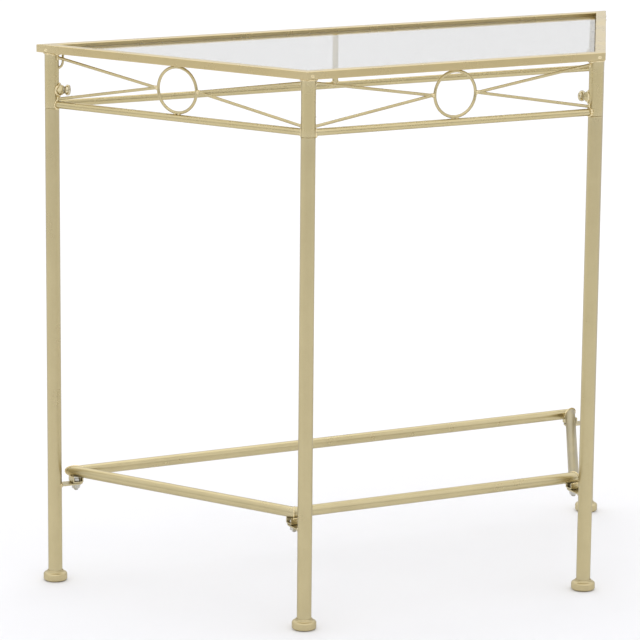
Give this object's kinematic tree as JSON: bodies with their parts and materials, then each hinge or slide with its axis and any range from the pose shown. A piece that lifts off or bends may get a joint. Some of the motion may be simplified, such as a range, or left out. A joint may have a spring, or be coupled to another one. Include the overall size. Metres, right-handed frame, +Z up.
{
  "type": "console table",
  "caption": "Trapezoid console table: gold painted tube and wire frame, recessed clear glass top, ring and diagonal apron, bolted low stretcher.",
  "frame": {"origin": "on the floor, below the middle of the top", "axes": "+X along the long back edge, +Y from the short front edge to the long back edge, +Z up"},
  "size_m": [0.8696, 0.372, 0.73],
  "materials": {
    "gold_paint": "satin champagne gold paint",
    "zinc_fasteners": "zinc plated",
    "clear_glass": "clear float glass, ground edges"
  },
  "bodies": {
    "table": {"top_rail_front": "gold_paint", "top_rail_right": "gold_paint", "top_rail_back": "gold_paint", "top_rail_left": "gold_paint", "apron_rod_left": "gold_paint", "apron_rod_front": "gold_paint", "apron_rod_right": "gold_paint", "apron_rod_back": "gold_paint", "apron_ring_left": "gold_paint", "apron_ring_front": "gold_paint", "apron_ring_right": "gold_paint", "apron_wire_left_a": "gold_paint", "apron_wire_left_b": "gold_paint", "apron_wire_front_a": "gold_paint", "apron_wire_front_b": "gold_paint", "apron_wire_right_a": "gold_paint", "apron_wire_right_b": "gold_paint", "apron_strut_back": "gold_paint", "corner_post_rear_left": "gold_paint", "corner_post_rear_right": "gold_paint", "corner_post_front_left": "gold_paint", "corner_post_front_right": "gold_paint", "weld_nut_rear_left": "gold_paint", "weld_nut_rear_right": "gold_paint", "weld_nut_front_left": "gold_paint", "weld_nut_front_right": "gold_paint", "leg_rear_left": "gold_paint", "leg_rear_right": "gold_paint", "leg_front_left": "gold_paint", "leg_front_right": "gold_paint", "foot_rear_left": "gold_paint", "foot_rear_right": "gold_paint", "foot_front_left": "gold_paint", "foot_front_right": "gold_paint", "leg_lug_rear_left": "gold_paint", "leg_lug_rear_right": "gold_paint", "leg_lug_front_left": "gold_paint", "leg_lug_front_right": "gold_paint", "stretcher_bracket_rear_left": "gold_paint", "stretcher_bracket_rear_right": "gold_paint", "stretcher_bracket_front_left": "gold_paint", "stretcher_bracket_front_right": "gold_paint", "stretcher_tube_front": "gold_paint", "stretcher_tube_right": "gold_paint", "stretcher_tube_back": "gold_paint", "stretcher_tube_left": "gold_paint", "wire_hook_rear_left": "gold_paint", "stretcher_bolt_rear_left": "zinc_fasteners", "stretcher_bolt_rear_right": "zinc_fasteners", "stretcher_bolt_front_left": "zinc_fasteners", "stretcher_bolt_front_right": "zinc_fasteners"},
    "glass": {"glass_pane": "clear_glass"},
    "clamp_travel_rear_left": {"clamp_washer_rear_left": "gold_paint"},
    "clamp_turn_rear_left": {"clamp_screw_rear_left": "gold_paint"},
    "clamp_travel_rear_right": {"clamp_washer_rear_right": "gold_paint"},
    "clamp_turn_rear_right": {"clamp_screw_rear_right": "gold_paint"},
    "clamp_travel_front_left": {"clamp_washer_front_left": "gold_paint"},
    "clamp_turn_front_left": {"clamp_screw_front_left": "gold_paint"},
    "clamp_travel_front_right": {"clamp_washer_front_right": "gold_paint"},
    "clamp_turn_front_right": {"clamp_screw_front_right": "gold_paint"}
  },
  "joints": [
    {"name": "glass_lift", "type": "slide", "parent": "table", "child": "glass", "axis": [0, 0, 1], "range_m": [0, 0.15]},
    {"name": "clamp_rear_left_travel", "type": "slide", "parent": "table", "child": "clamp_travel_rear_left", "axis": [0.871, -0.4914, 0], "range_m": [0, 0.00305]},
    {"name": "clamp_rear_left_turn", "type": "hinge", "parent": "clamp_travel_rear_left", "child": "clamp_turn_rear_left", "pos_m": [-0.4175, 0.17, 0.67], "axis": [0.871, -0.4914, 0], "range_deg": [0, 1080]},
    {"name": "clamp_rear_right_travel", "type": "slide", "parent": "table", "child": "clamp_travel_rear_right", "axis": [-0.871, -0.4914, 0], "range_m": [0, 0.00305]},
    {"name": "clamp_rear_right_turn", "type": "hinge", "parent": "clamp_travel_rear_right", "child": "clamp_turn_rear_right", "pos_m": [0.4175, 0.17, 0.67], "axis": [-0.871, -0.4914, 0], "range_deg": [0, 1080]},
    {"name": "clamp_front_left_travel", "type": "slide", "parent": "table", "child": "clamp_travel_front_left", "axis": [0.4914, 0.871, 0], "range_m": [0, 0.00305]},
    {"name": "clamp_front_left_turn", "type": "hinge", "parent": "clamp_travel_front_left", "child": "clamp_turn_front_left", "pos_m": [-0.21, -0.17, 0.67], "axis": [0.4914, 0.871, 0], "range_deg": [0, 1080]},
    {"name": "clamp_front_right_travel", "type": "slide", "parent": "table", "child": "clamp_travel_front_right", "axis": [-0.4914, 0.871, 0], "range_m": [0, 0.00305]},
    {"name": "clamp_front_right_turn", "type": "hinge", "parent": "clamp_travel_front_right", "child": "clamp_turn_front_right", "pos_m": [0.21, -0.17, 0.67], "axis": [-0.4914, 0.871, 0], "range_deg": [0, 1080]}
  ],
  "couplings": [
    {"joint": "clamp_rear_left_travel", "follows": "clamp_rear_left_turn", "m_per_rad": 0.00015915},
    {"joint": "clamp_rear_right_travel", "follows": "clamp_rear_right_turn", "m_per_rad": 0.00015915},
    {"joint": "clamp_front_left_travel", "follows": "clamp_front_left_turn", "m_per_rad": 0.00015915},
    {"joint": "clamp_front_right_travel", "follows": "clamp_front_right_turn", "m_per_rad": 0.00015915}
  ]
}
